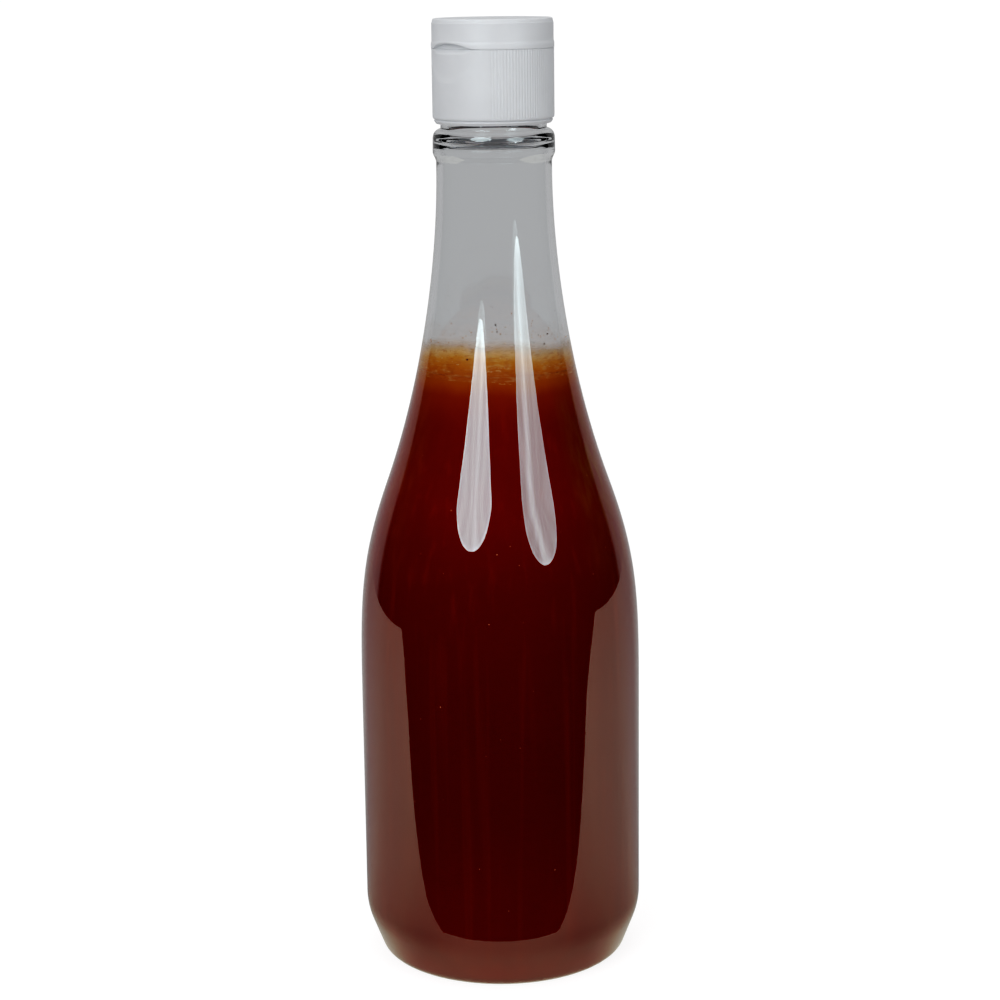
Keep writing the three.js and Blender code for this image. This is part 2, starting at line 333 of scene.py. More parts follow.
# %% Wiring of nodes
class Wiring:
    """Adds nodes to one tree. An input takes a socket, a number, a vector or a colour."""

    def __init__(self, tree):
        self.tree = tree

    def add(self, kind, **settings):
        """A new node with its own settings, such as its operation."""
        node = self.tree.nodes.new("ShaderNode" + kind)
        for name, value in settings.items():
            setattr(node, name, value)
        return node

    def feed(self, target, value):
        """Links a socket to an input, or sets the input itself."""
        if isinstance(value, bpy.types.NodeSocket):
            self.tree.links.new(value, target)
        else:
            target.default_value = (*value, 1.0) if target.type == "RGBA" else value

    def set(self, node, **values):
        """Feeds a node's inputs by name. Underscores in a keyword stand for spaces."""
        for name, value in values.items():
            self.feed(node.inputs[name.replace("_", " ")], value)
        return node

    def number(self, operation, *values, clamp=False):
        """The result of a math node."""
        node = self.add("Math", operation=operation, use_clamp=clamp)
        for target, value in zip(node.inputs, values):
            self.feed(target, value)
        return node.outputs["Value"]

    def product(self, first, *others, clamp=False):
        """Several values multiplied."""
        for other in others:
            first = self.number("MULTIPLY", first, other, clamp=clamp)
        return first

    def vector(self, operation, *values):
        """The result of a vector math node, which is a number for a dot product or a length."""
        node = self.add("VectorMath", operation=operation)
        for target, value in zip(node.inputs, values):
            self.feed(target, value)
        return node.outputs["Value" if operation in ("DOT_PRODUCT", "LENGTH") else "Vector"]

    def place(self, output="Object"):
        """The place on the piece, in metres."""
        return self.add("TexCoord").outputs[output]

    def height(self):
        """The height on the piece, in metres."""
        return self.set(self.add("SeparateXYZ"), Vector=self.place()).outputs["Z"]

    def facing(self, direction):
        """How far a place faces a level direction from the axis: 1 in it, 0 across it, -1 behind."""
        outwards = self.vector("NORMALIZE", self.vector("MULTIPLY", self.place(), (1, 1, 0)))
        return self.vector("DOT_PRODUCT", outwards, direction)

    def speckle(self, place, scale, detail):
        """Noise between 0 and 1."""
        node = self.add("TexNoise")
        return self.set(node, Vector=place, Scale=scale, Detail=detail).outputs["Fac"]

    def span(self, value, low, high, start=0.0, end=1.0):
        """Maps a value from one range to another, held at the ends."""
        node = self.add("MapRange")
        self.set(node, Value=value, From_Min=low, From_Max=high, To_Min=start, To_Max=end)
        return node.outputs["Result"]

    def ramp(self, value, *stops):
        """A colour ramp through stops of position and colour."""
        node = self.add("ValToRGB")
        elements = node.color_ramp.elements
        while len(elements) < len(stops):
            elements.new(0.5)
        for element, (position, colour) in zip(elements, stops):
            element.position = position
            element.color = (*colour, 1.0)
        return self.set(node, Fac=value).outputs["Color"]

    def mix(self, factor, first, second):
        """A mix of two colours."""
        node = self.set(self.add("Mix", data_type="RGBA"), Factor=factor)
        colours = [target for target in node.inputs if target.type == "RGBA"]
        self.feed(colours[0], first)
        self.feed(colours[1], second)
        return next(made for made in node.outputs if made.type == "RGBA")

    def bump(self, height, depth, strength):
        """A bump of a real depth, in metres, from a height between 0 and 1."""
        node = self.set(self.add("Bump"), Height=height, Distance=depth, Strength=strength)
        return node.outputs["Normal"]

    def group(self, tree, **values):
        """The outputs of a placed node group with its inputs fed."""
        return self.set(self.add("Group", node_tree=tree), **values).outputs


def new_look(name):
    """A material, the wiring of its nodes and its main shader."""
    material = bpy.data.materials.new(name)
    material.use_nodes = True
    return material, Wiring(material.node_tree), material.node_tree.nodes["Principled BSDF"]


print("wiring and looks are ready")

# %% [markdown]
# Moulded plastic and wet food are never one even tone. A shader node group gives every material
# here the same kind of unevenness: a slow mottle for the colour and a fine grain for the gloss and
# the bump. Each material sets its own scale and takes only the outputs that it needs. A second
# group is a mask between two heights with a ragged edge, for liquid that has run and dried.

# %% Node groups
def new_group(name, inputs, outputs):
    """A node group with its sockets, its wiring, the values given to it and those it puts out."""
    tree = bpy.data.node_groups.new(name, "ShaderNodeTree")
    for label, default in inputs.items():
        kind = "NodeSocketVector" if isinstance(default, tuple) else "NodeSocketFloat"
        tree.interface.new_socket(name=label, in_out="INPUT", socket_type=kind).default_value = default
    for label in outputs:
        tree.interface.new_socket(name=label, in_out="OUTPUT", socket_type="NodeSocketFloat")
    given = tree.nodes.new("NodeGroupInput").outputs
    made = tree.nodes.new("NodeGroupOutput").inputs
    return tree, Wiring(tree), given, made


def uneven_group():
    """A slow mottle and a fine grain, stretched along the axes."""
    inputs = {"Mottle Scale": 60.0, "Grain Scale": 1500.0, "Stretch": (1.0, 1.0, 1.0)}
    tree, wiring, given, made = new_group("uneven surface", inputs, ("Mottle", "Grain"))
    place = wiring.vector("MULTIPLY", wiring.place(), given["Stretch"])
    wiring.feed(made["Mottle"], wiring.speckle(place, given["Mottle Scale"], 3.0))
    wiring.feed(made["Grain"], wiring.speckle(place, given["Grain Scale"], 2.0))
    return tree


def ragged_height_group():
    """A mask that rises from 0 to 1 between two heights, with a ragged edge."""
    inputs = {"Low": 0.0, "High": 1.0, "Ragged": 0.0, "Scale": 300.0}
    tree, wiring, given, made = new_group("ragged height", inputs, ("Mask",))
    wander = wiring.number("SUBTRACT", wiring.speckle(wiring.place(), given["Scale"], 4.0), 0.5)
    ragged = wiring.number("MULTIPLY_ADD", wander, given["Ragged"], wiring.height())
    rise = wiring.add("MapRange", interpolation_type="SMOOTHSTEP")
    wiring.set(rise, Value=ragged, From_Min=given["Low"], From_Max=given["High"])
    wiring.feed(made["Mask"], rise.outputs["Result"])
    return tree


UNEVEN = uneven_group()
RAGGED_HEIGHT = ragged_height_group()
print("node groups", UNEVEN.name, "and", RAGGED_HEIGHT.name)

# %% [markdown]
# The bottle is blown from clear plastic: an even, glossy wall with faint ripples. It is glass to
# the eye with a higher index. Glass would cast a black shadow on the sauce, so rays of shadow and
# of soft light go straight through the wall, while the camera's rays bend and mirror as they should.

# %% Clear plastic
def clear_plastic():
    material, wiring, shader = new_look("clear blown plastic")
    uneven = wiring.group(UNEVEN, Mottle_Scale=38.0, Grain_Scale=200.0, Stretch=(1, 1, 0.45))
    wiring.set(
        shader,
        Base_Color=(0.985, 0.99, 0.99),
        Transmission_Weight=1.0,
        IOR=1.575,
        Roughness=wiring.span(uneven["Grain"], 0.3, 0.7, 0.0, 0.02),
        Normal=wiring.bump(uneven["Mottle"], 0.00006, 0.5),
    )
    rays = wiring.add("LightPath").outputs
    mixed = wiring.add("MixShader")
    wiring.set(mixed, Fac=wiring.number("MAXIMUM", rays["Is Shadow Ray"], rays["Is Diffuse Ray"]))
    wiring.feed(mixed.inputs[1], shader.outputs["BSDF"])
    wiring.feed(mixed.inputs[2], wiring.add("BsdfTransparent").outputs["BSDF"])
    wiring.set(material.node_tree.nodes["Material Output"], Surface=mixed.outputs["Shader"])
    return material


CLEAR_PLASTIC = clear_plastic()
print(CLEAR_PLASTIC.name)

# %% [markdown]
# Above the shoulder the neck carries a round support bead, and then the finish that the cap is
# screwed on. The bottle is one closed wall: the outline runs up the outside, over the rim of the
# mouth and back down the inside to the floor, so that light bends twice in it as in the real one.

# %% Bottle
BEAD_LOW, BEAD_FULL, BEAD_SHOULDER, BEAD_TOP = 204.9, 207.4, 210.6, 213.0
BEAD_RADIUS, BEAD_TOP_RADIUS, STEP_RADIUS, STEP_ROUND = 15.13, 13.5, 13.1, 0.3
FINISH_LOW, FINISH_TOP, FINISH_RADIUS = 214.1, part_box("bottle")[1][2] / MM, 12.7
BORE_RADIUS, BORE_FLARE, BULGE_HEIGHT = 11.2, 212.8, 208.0
RIM_ROUND = 0.3


def neck_outline():
    """Bead, step and finish of the neck, up to the outer edge of the mouth."""
    shoulder = (BEAD_RADIUS - 0.05, BEAD_SHOULDER)
    crown = (BEAD_RADIUS - 0.08, BEAD_TOP - 0.5)
    top = (BEAD_TOP_RADIUS, BEAD_TOP)
    low_pull, high_pull = (NECK_RADIUS, BEAD_LOW + 1), (BEAD_RADIUS, BEAD_FULL - 0.8)
    return [
        *bezier((NECK_RADIUS, BEAD_LOW), low_pull, high_pull, (BEAD_RADIUS, BEAD_FULL), 12),
        *line((BEAD_RADIUS, BEAD_FULL), shoulder, 3),
        *corner(shoulder, crown, top, 10),
        top,
        *rounded((STEP_RADIUS, BEAD_TOP), (STEP_ROUND, 0), (0, STEP_ROUND), 5),
        (STEP_RADIUS, BEAD_TOP + STEP_ROUND),
        (STEP_RADIUS, FINISH_LOW),
        (FINISH_RADIUS, FINISH_LOW),
        (FINISH_RADIUS, FINISH_TOP - RIM_ROUND),
        (FINISH_RADIUS - RIM_ROUND, FINISH_TOP),
        (BORE_RADIUS + RIM_ROUND, FINISH_TOP),
        (BORE_RADIUS, FINISH_TOP - RIM_ROUND),
    ]


def bore_outline(inner_top):
    """The inside of the neck, from the mouth down to the top of the inner wall."""
    flare, bulge = (BORE_RADIUS, BORE_FLARE), (BEAD_RADIUS - NECK_WALL, BULGE_HEIGHT)
    return [
        (BORE_RADIUS, BORE_FLARE + 0.5),
        *bezier(flare, (BORE_RADIUS, BORE_FLARE - 2.4), (bulge[0], BULGE_HEIGHT + 2), bulge, 12),
        *bezier(bulge, (bulge[0], BEAD_FULL), (inner_top[0], BEAD_LOW + 1), inner_top, 8),
    ]


bottle = turn("blown_bottle", [
    *wall,
    *neck_outline(),
    *bore_outline(inner_wall[-1]),
    *reversed(inner_wall),
])
dress(bottle, "bottle_body", "clear_plastic", CLEAR_PLASTIC, "bottle")

# %% [markdown]
# Thick sauce is nearly black red where it is deep, and browner in the last millimetres under its
# level, where air and oil gather. Ragged height masks move between the tones. A colour ramp by
# height makes the deep red lighter towards the foot and up the shoulder, as painted light for the
# table's bounce and the lamps above. Faint upright streaks run through it, and two broad orange
# bands on the shoulder, towards both edges of the view, are painted caustic light where the lamps
# shine through the sauce. It takes no gloss, because the wall in front has it.

# %% Sauce material
TONE_REACH = 160
# Deep red by height, lighter at the foot and up the shoulder: painted light for the table's bounce and the
# lamps above.
SAUCE_REDS_AND_PAINTED_LIGHT = (
    (4, (0.24, 0.006, 0.003)), (10, (0.205, 0.005, 0.002)), (14, (0.155, 0.004, 0.002)),
    (26, (0.144, 0.0035, 0.0018)), (45, (0.126, 0.003, 0.0015)), (67, (0.124, 0.003, 0.0015)),
    (103, (0.132, 0.0035, 0.0015)), (124, (0.156, 0.005, 0.002)), (140, (0.162, 0.008, 0.0025)),
)
RUST, ORANGE_BROWN = (0.208, 0.031, 0.003), (0.275, 0.075, 0.004)
# Painted light: two broad orange bands on the shoulder, towards both edges of the view, where the lamps
# shine through the sauce.
PAINTED_CAUSTIC_BANDS = ((61.0, 20.0, 0.8, (0.165, 0.05, 0.003)), (-62.0, 17.0, 0.5, (0.18, 0.035, 0.003)))


def above_level(height):
    """A height above the sauce's level, from millimetres to metres above the table."""
    return (SAUCE_LEVEL + height) * MM


def level_mask(wiring, low, high, ragged, scale):
    """The ragged height mask between two heights above the level, in millimetres."""
    heights = {"Low": above_level(low), "High": above_level(high)}
    return wiring.group(RAGGED_HEIGHT, **heights, Ragged=ragged * MM, Scale=scale)["Mask"]


def sauce_material():
    material, wiring, shader = new_look("dark red sauce")
    uneven = wiring.group(UNEVEN, Mottle_Scale=90.0, Grain_Scale=1400.0, Stretch=(1, 1, 0.7))
    streaks = wiring.group(UNEVEN, Mottle_Scale=420.0, Grain_Scale=900.0, Stretch=(1, 1, 0.02))
    share_of_reach = wiring.span(wiring.height(), 0, TONE_REACH * MM)
    # the ramp by height paints the table's bounce at the foot and the lamps' light on the shoulder
    tone = wiring.ramp(share_of_reach, *((height / TONE_REACH, red) for height, red in SAUCE_REDS_AND_PAINTED_LIGHT))
    tone = wiring.mix(wiring.span(uneven["Mottle"], 0.35, 0.7, 0.0, 0.25), tone, (0.1, 0.002, 0.001))
    tone = wiring.mix(wiring.span(streaks["Mottle"], 0.55, 0.75, 0.0, 0.18), tone, (0.3, 0.035, 0.008))
    # painted caustic light on the shoulder, towards both edges of the view
    for azimuth, reach, strength, caustic_colour in PAINTED_CAUSTIC_BANDS:
        edge = math.cos(math.radians(reach))
        caustic_band = wiring.product(
            wiring.span(wiring.facing(level_direction(azimuth)), edge, 0.3 * edge + 0.7),
            level_mask(wiring, -58, -22, 20.0, 40.0),
            wiring.span(streaks["Mottle"], 0.38, 0.6, 0.25 * strength, strength),
        )
        tone = wiring.mix(caustic_band, tone, caustic_colour)
    tone = wiring.mix(level_mask(wiring, -13, -1, 6.0, 60.0), tone, RUST)
    tone = wiring.mix(level_mask(wiring, -4.5, 0.0, 2.5, 120.0), tone, ORANGE_BROWN)
    wiring.set(shader, Base_Color=tone, Roughness=0.6, Specular_IOR_Level=0.0)
    return material


SAUCE = sauce_material()
print(SAUCE.name, "in", len(SAUCE_REDS_AND_PAINTED_LIGHT), "tones")

# %% [markdown]
# A liquid that wets plastic shows no air gap. If the sauce stopped at the wall's inner face, a
# bright line would run all along it, so its surface reaches a hair into the wall. It stops under
# the foam, which makes the top of the sauce.

# %% Sauce body
WETTING = 0.12
FOAM_DEPTH = 0.6


def below(outline, level):
    """The part of an outline below a level, ending on it."""
    over = next(i for i, point in enumerate(outline) if point[1] > level)
    (r0, z0), (r1, z1) = outline[over - 1], outline[over]
    share = (level - z0) / (z1 - z0)
    return [*outline[:over], (r0 + (r1 - r0) * share, level)]


def between(outline, low, high):
    """The part of an outline between two levels."""
    start = below(outline, low)
    return [start[-1], *below(outline, high)[len(start) - 1:]]


wetted_wall = below_wall(-WETTING)
foam_middle = SAUCE_LEVEL - FOAM_DEPTH / 2
sauce_side = below(wetted_wall, foam_middle)
sauce = turn("sauce_body", [*sauce_side, (0, foam_middle)])
dress(sauce, "bottle_body", "sauce", SAUCE, "sauce")
print("sauce reaches radius", round(sauce_side[-1][0], 2), "at its level")

# %% [markdown]
# Filling and shaking leave a brown foam on the sauce, which creeps a little up the wall. A bump
# alone would look flat from above, so the top of a thin disc is lifted by real noise, and the
# bump adds only the finest bubbles.

# %% Foam on the sauce
CLIMB, CLIMB_REACH, CLIMB_ROUND = 0.9, 2.6, 0.6
FOAM_GAP = 0.13
SWELL, SWELL_SIZE, RIPPLE = 0.25, 3.0, 0.1


def foam_material():
    material, wiring, shader = new_look("foam on the sauce")
    uneven = wiring.group(UNEVEN, Mottle_Scale=160.0, Grain_Scale=2600.0)
    browns = ((0.3, (0.2, 0.04, 0.008)), (0.5, (0.36, 0.11, 0.016)), (0.7, (0.5, 0.2, 0.05)))
    wiring.set(
        shader,
        Base_Color=wiring.ramp(uneven["Mottle"], *browns),
        Normal=wiring.bump(uneven["Grain"], 0.0003, 0.6),
        Roughness=0.28,
    )
    return material


climb_edge = (sauce_side[-1][0] - 0.2, SAUCE_LEVEL + CLIMB)
flat_edge = (climb_edge[0] - CLIMB_REACH, SAUCE_LEVEL)
foam_outline = [
    (0, SAUCE_LEVEL - FOAM_DEPTH),
    *between(below_wall(FOAM_GAP), SAUCE_LEVEL - FOAM_DEPTH, SAUCE_LEVEL + CLIMB),
    *corner(climb_edge, (climb_edge[0] - CLIMB_ROUND, SAUCE_LEVEL), flat_edge, 10),
    *line(flat_edge, (0, SAUCE_LEVEL), 24),
    (0, SAUCE_LEVEL),
]


def foamy(radius, height, angle):
    """Lifts the top of the foam a little, so that it isn't as flat as glass."""
    x, y = radius * math.cos(angle), radius * math.sin(angle)
    free = min(max((climb_edge[0] - radius) / 2, 0), 1) if height >= SAUCE_LEVEL else 0
    wave = SWELL * noise.noise((x / SWELL_SIZE, y / SWELL_SIZE, 0)) + RIPPLE * noise.noise((x, y, 5))
    return x, y, height + free * wave


foam = turn("sauce_foam", foam_outline, shape=foamy)
dress(foam, "bottle_body", "sauce", foam_material())

# %% [markdown]
# Shaking leaves a thin film on the wall above the level. It could be painted on the inside of the
# wall, but then it would bend light as the wall does. A thin skin of its own, which fades out with
# ragged height masks, keeps its tan colour and lets the clear wall show between the runs. The
# bottle was last tipped towards one side, so the film stands highest there and is gone behind.

# %% Film above the level
FILM_TOP = 15.0
FILM_DEPTH = 0.1
TIPPED_TO = level_direction(-15)
FILM_TONES = (
    (0.0, ORANGE_BROWN), (0.16, (0.36, 0.12, 0.008)), (0.36, (0.42, 0.18, 0.035)),
    (0.54, (0.48, 0.28, 0.14)), (0.72, (0.49, 0.35, 0.24)), (1.0, (0.51, 0.45, 0.38)),
)


def tipped_mask(wiring, low_side, tipped_side, ragged, scale):
    """A ragged height mask whose two heights rise from the low side to the tipped side."""
    tipped = wiring.facing(TIPPED_TO)
    low, high = (
        wiring.span(tipped, 0.48, 0.92, above_level(start), above_level(end))
        for start, end in zip(low_side, tipped_side)
    )
    return wiring.group(RAGGED_HEIGHT, Low=low, High=high, Ragged=ragged * MM, Scale=scale)["Mask"]


def film_material():
    material, wiring, shader = new_look("thin sauce film")
    uneven = wiring.group(UNEVEN, Mottle_Scale=260.0, Grain_Scale=1500.0, Stretch=(1, 1, 0.6))
    bubbly = wiring.group(UNEVEN, Mottle_Scale=1500.0, Grain_Scale=700.0, Stretch=(0.55, 0.55, 1.6))
    tone = wiring.ramp(tipped_mask(wiring, (-1.4, 10.2), (0.2, 12.2), 3.0, 150.0), *FILM_TONES)
    tone = wiring.mix(wiring.span(bubbly["Grain"], 0.5, 0.72, 0.0, 0.35), tone, (0.5, 0.33, 0.17))
    tone = wiring.mix(wiring.span(bubbly["Mottle"], 0.5, 0.75, 0.0, 0.45), tone, (0.2, 0.05, 0.006))
    thinned = tipped_mask(wiring, (4.2, 8.9), (5.7, 10.7), 2.2, 130.0)
    cover = wiring.product(
        wiring.span(thinned, 0, 1, 1.0, 0.07),
        wiring.span(level_mask(wiring, 10.0, 14.5, 5.0, 90.0), 0, 1, 1.0, 0.0),
        wiring.span(uneven["Mottle"], 0.3, 0.6, 0.85, 1.15),
        wiring.span(wiring.facing(toward_camera), -0.3, 0.0),
        clamp=True,
    )
    wiring.set(shader, Base_Color=tone, Alpha=cover, Roughness=0.45, Specular_IOR_Level=0.1)
    return material


film_back = between(wetted_wall, foam_middle, SAUCE_LEVEL + FILM_TOP)
film_front = between(below_wall(FILM_DEPTH), foam_middle, SAUCE_LEVEL + FILM_TOP)
film = turn("wall_film", [*film_back, *reversed(film_front), film_back[0]])
dress(film, "bottle_body", "sauce", film_material())

# %% [markdown]
# Ground chilli and air show as specks and bubbles: dark grains and orange drops left on the wall,
# pale grains in the sauce behind it, and a crowded ring of small bubbles where the foam meets the
# wall. Painted dots would smear on the curved wall, so each kind is one mesh of small rounded
# grains at their true size. The few that catch the eye are set where the camera's ray meets the
# wall, and the rest are strewn at random from one seed.

# %% Places on the wall
rng = random.Random(7)
RAY_STEPS = 600
RAY_MARGIN = 10
GRAIN_DEPTH = 0.05


def radius_at(outline, height):
    """Radius of an outline at a height."""
    return below(outline, height)[-1][0]


def seen_on_wall(px, py, outline):
    """Where the camera's ray through a pixel first meets a turned outline, in millimetres."""
    start = Vector(camera.matrix_world.translation) / MM
    across = (px - CENTRE_PIXEL_X) / FOCAL_PIXELS
    down = (py - PICTURE_PIXELS / 2) / FOCAL_PIXELS
    ray = (looking + right * across - up * down).normalized()
    near, far = VIEW_DISTANCE / MM - BODY_RADIUS - RAY_MARGIN, VIEW_DISTANCE / MM
    for i in range(RAY_STEPS):
        spot = start + ray * (near + (far - near) * i / RAY_STEPS) / -ray.dot(toward_camera)
        if math.hypot(spot.x, spot.y) <= radius_at(outline, spot.z):
            return spot
    raise ValueError("no wall behind pixel " + str((px, py)))


def wall_spot(outline, angle, height):
    """The place on a turned outline at an angle and a height."""
    radius = radius_at(outline, height)
    return Vector((radius * math.cos(angle), radius * math.sin(angle), height))


def strewn(count, outline, lowest, reach, crowding, small, large, flat):
    """Grains strewn round the wall, the more crowded towards the lowest height."""
    spots = []
    for _ in range(count):
        height = lowest + reach * rng.random() ** crowding
        place = wall_spot(outline, rng.uniform(0, 2 * math.pi), height)
        spots.append((place, rng.uniform(small, large), flat))
    return spots


film_face = below_wall(GRAIN_DEPTH)
print("film face radius at the level", round(radius_at(film_face, SAUCE_LEVEL), 2))


# %% Meshes and finish of the grains
GRAIN_DETAIL = 2
GRAIN_LOW, GRAIN_HIGH = 0.8, 1.25


def grains(name, spots, material):
    """One mesh of rounded grains. Each spot is a place, a radius and a flatness towards the axis."""
    bm = bmesh.new()
    for place, radius, flat in spots:
        outwards = Vector((place.x, place.y, 0)).normalized()
        facing_out = outwards.to_track_quat("Z", "Y").to_matrix().to_4x4()
        wide = radius * rng.uniform(GRAIN_LOW, GRAIN_HIGH)
        tall = radius * rng.uniform(GRAIN_LOW, GRAIN_HIGH)
        size = Matrix.Diagonal((wide, tall, radius * flat, 1))
        matrix = Matrix.Scale(MM, 4) @ Matrix.Translation(place) @ facing_out @ size
        bmesh.ops.create_icosphere(bm, subdivisions=GRAIN_DETAIL, radius=1.0, matrix=matrix)
    dress(piece_of(name, mesh_from(name, bm)), "bottle_body", "sauce", material)


def grain_material(name, dark, light, roughness):
    """A finish that wanders between two tones from grain to grain."""
    material, wiring, shader = new_look(name)
    uneven = wiring.group(UNEVEN, Mottle_Scale=900.0, Grain_Scale=4000.0)
    tone = wiring.ramp(uneven["Mottle"], (0.35, dark), (0.65, light))
    wiring.set(shader, Base_Color=tone, Roughness=roughness)
    return material


print("a grain is between", GRAIN_LOW, "and", GRAIN_HIGH, "times its nominal size")

# %% Specks, drops and seeds
SPECK_PIXELS = (
    (495.5, 325, 0.2), (497, 332, 0.17), (545.5, 334, 0.25), (537, 335, 0.15), (542.6, 344, 0.2),
    (478, 347, 0.2), (484, 348, 0.17), (533, 343, 0.13), (434, 345, 0.2),
)
LARGEST_SPECK = (468, 360, 0.3)
DROP_PIXELS = ((468, 361, 0.6), (562, 338, 0.5), (564, 344, 0.7), (566, 350, 0.6), (434, 341, 0.4))
SEED_PIXELS = (
    (510, 547, 0.22), (519, 566, 0.2), (452, 511, 0.2), (497, 555, 0.18), (441, 707, 0.17),
    (452, 722, 0.16),
)


def placed(pixels, outline, flat):
    """Grains at picture places, each given as pixel x, pixel y and radius."""
    return [(seen_on_wall(px, py, outline), radius, flat) for px, py, radius in pixels]


specks = [*placed(SPECK_PIXELS, film_face, 0.5), *placed([LARGEST_SPECK], wetted_wall, 0.35)]
specks += strewn(70, film_face, SAUCE_LEVEL + 7, 16, 1.6, 0.05, 0.1, 0.5)
grains("chilli_specks", specks, grain_material("dark chilli", (0.02, 0.006, 0.003), (0.09, 0.03, 0.01), 0.4))

drops = placed(DROP_PIXELS, film_face, 0.12)
drops += strewn(90, film_face, SAUCE_LEVEL + 6, 6, 2, 0.07, 0.18, 0.2)
grains("sauce_drops", drops, grain_material("orange drops", (0.42, 0.16, 0.05), (0.55, 0.36, 0.2), 0.25))

SEEDS_FROM, SEEDS_TO = 16, SAUCE_LEVEL - 12
seeds = placed(SEED_PIXELS, wetted_wall, 0.3)
seeds += strewn(110, wetted_wall, SEEDS_FROM, SEEDS_TO - SEEDS_FROM, 1, 0.07, 0.15, 0.3)
grains("pale_seeds", seeds, grain_material("pale seeds", (0.34, 0.12, 0.05), (0.5, 0.24, 0.12), 0.5))

# %% [markdown]
# Air gathers where the foam meets the wall. Most bubbles are strewn round that ring, the fewer the
# further in, and a few short rows of flat ones lie on the wall where light catches them.

# %% Bubbles
RING_BUBBLES = 420
BUBBLE_LINES = (
    ((484, 368), (511, 369), 18), ((486, 372), (504, 371), 12), ((472, 384), (496, 383), 14),
    ((500, 384), (512, 384), 8), ((440, 357), (462, 366), 10), ((484, 358), (512, 360), 10),
    ((545, 368), (566, 362), 10), ((436, 352), (478, 350), 14), ((528, 352), (566, 350), 12),
)

bubbles = []
for _ in range(RING_BUBBLES):
    size = rng.uniform(0.12, 0.5)
    turned = rng.uniform(0, 2 * math.pi)
    inwards = abs(rng.gauss(0, 1.6))
    rise = 0.5 if inwards < 0.8 else 0.05
    place = wall_spot(film_face, turned, SAUCE_LEVEL + rise)
    shrink = 1 - (inwards + size) / place.to_2d().length
    bubbles.append((Vector((place.x * shrink, place.y * shrink, SAUCE_LEVEL + rise)), size, 1.0))
for (x0, y0), (x1, y1), count in BUBBLE_LINES:
    for i in range(count):
        px = x0 + (x1 - x0) * (i + rng.uniform(-0.4, 0.4)) / count
        py = y0 + (y1 - y0) * i / count + rng.uniform(-0.8, 0.8)
        bubbles.append((seen_on_wall(px, py, wetted_wall), rng.uniform(0.1, 0.22), 0.3))
grains("foam_bubbles", bubbles, grain_material("foam bubbles", (0.36, 0.14, 0.04), (0.52, 0.32, 0.18), 0.18))

# %% [markdown]
# White snap caps are moulded from soft white plastic with a satin skin. The material is nearly
# even: a slow mottle in the white, a fine grain in the gloss and a very low orange peel. A little
# light goes into the plastic before it comes out again, which softens the shade of the notch.

# %% Cap plastic
def cap_plastic():
    material, wiring, shader = new_look("satin white plastic")
    uneven = wiring.group(UNEVEN, Mottle_Scale=120.0, Grain_Scale=5200.0)
    whites = ((0.35, (0.745, 0.765, 0.793)), (0.65, (0.78, 0.8, 0.828)))
    wiring.set(
        shader,
        Base_Color=wiring.ramp(uneven["Mottle"], *whites),
        Roughness=wiring.span(uneven["Grain"], 0.3, 0.7, 0.38, 0.5),
        Normal=wiring.bump(uneven["Grain"], 0.00002, 0.4),
        Specular_IOR_Level=0.2,
        Subsurface_Weight=0.12,
        Subsurface_Radius=(0.0012, 0.0011, 0.001),
        Subsurface_Scale=1.0,
    )
    return material


CAP_PLASTIC = cap_plastic()
print(CAP_PLASTIC.name)

# %% [markdown]
# The cap is two moulded parts on one hinge. The lower one has a band, a ribbed skirt with a smooth
# panel in front, and under the lid a deck with a snap ring and a spout. Its back is cut flat, so
# that the lid has room to swing. The sizes are those of the solids.

# %% Sizes of the cap
BAND_LOW, BAND_HEIGHT = 214.4, 0.85
BAND_RADIUS, BAND_GROOVE = (14.2, 14.5, 14.7), 14.45
CAP_BORE = 13.0
SKIRT_LOW, SKIRT_TOP, SKIRT_EDGE, SKIRT_RADIUS = 215.5, 232.5, 0.8, 15.0
RIB_COUNT, RIB_VALLEY, RIB_CREST = 120, 14.92, 15.03
PANEL_HALF_ANGLE = math.radians(45)
DECK_LOW, DECK_TOP, DECK_FILLET = 229.4, 231.4, 0.4
RING_INNER, RING_OUTER, RING_TOP, RING_ROUND = 11.6, 12.9, 233.5, 0.3
SPOUT_FOOT, SPOUT_OUTER, SPOUT_LIP, SPOUT_BORE, SPOUT_TOP = 5.0, 4.4, 4.1, 3.0, 236.4
LIP_ROUND = 0.4
HINGE_FLAT_Y, HINGE_FLAT_LOW, HINGE_HEIGHT = 13.9, 224.5, 232.65
FRONT = -math.pi / 2


def from_front(angle):
    """The angle from the front of the cap, from 0 to half a turn."""
    return abs((angle - FRONT + math.pi) % (2 * math.pi) - math.pi)


def cut_at_hinge(x, y, height):
    """Presses what lies behind the hinge flat onto it."""
    return x, min(y, HINGE_FLAT_Y) if height >= HINGE_FLAT_LOW else y, height


print("one rib every", round(360 / RIB_COUNT, 1), "degrees")

# %% [markdown]
# The thumb notch is where the lid is pushed open: a low arch cut into the lid's lower edge, which
# runs on as a scoop into the top of the skirt. It could be cut with a boolean, but that leaves
# rough edges on so small a form. Here the turned points themselves are moved, by a depth that
# follows the arch.

# %% Thumb notch
NOTCH_HALF_WIDTH, NOTCH_HEIGHT, NOTCH_FLARE, NOTCH_CROWN = 9.2, 1.5, 0.6, 0.55
NOTCH_DEPTH = 1.65
SCOOP_DEPTH, SCOOP_HEIGHT = 1.15, 1.7

notch_arch = [
    *bezier(
        (NOTCH_HALF_WIDTH, 0),
        (NOTCH_FLARE * NOTCH_HALF_WIDTH, 0),
        (NOTCH_CROWN * NOTCH_HALF_WIDTH, NOTCH_HEIGHT),
        (0, NOTCH_HEIGHT),
        60,
    ),
    (0, NOTCH_HEIGHT),
]


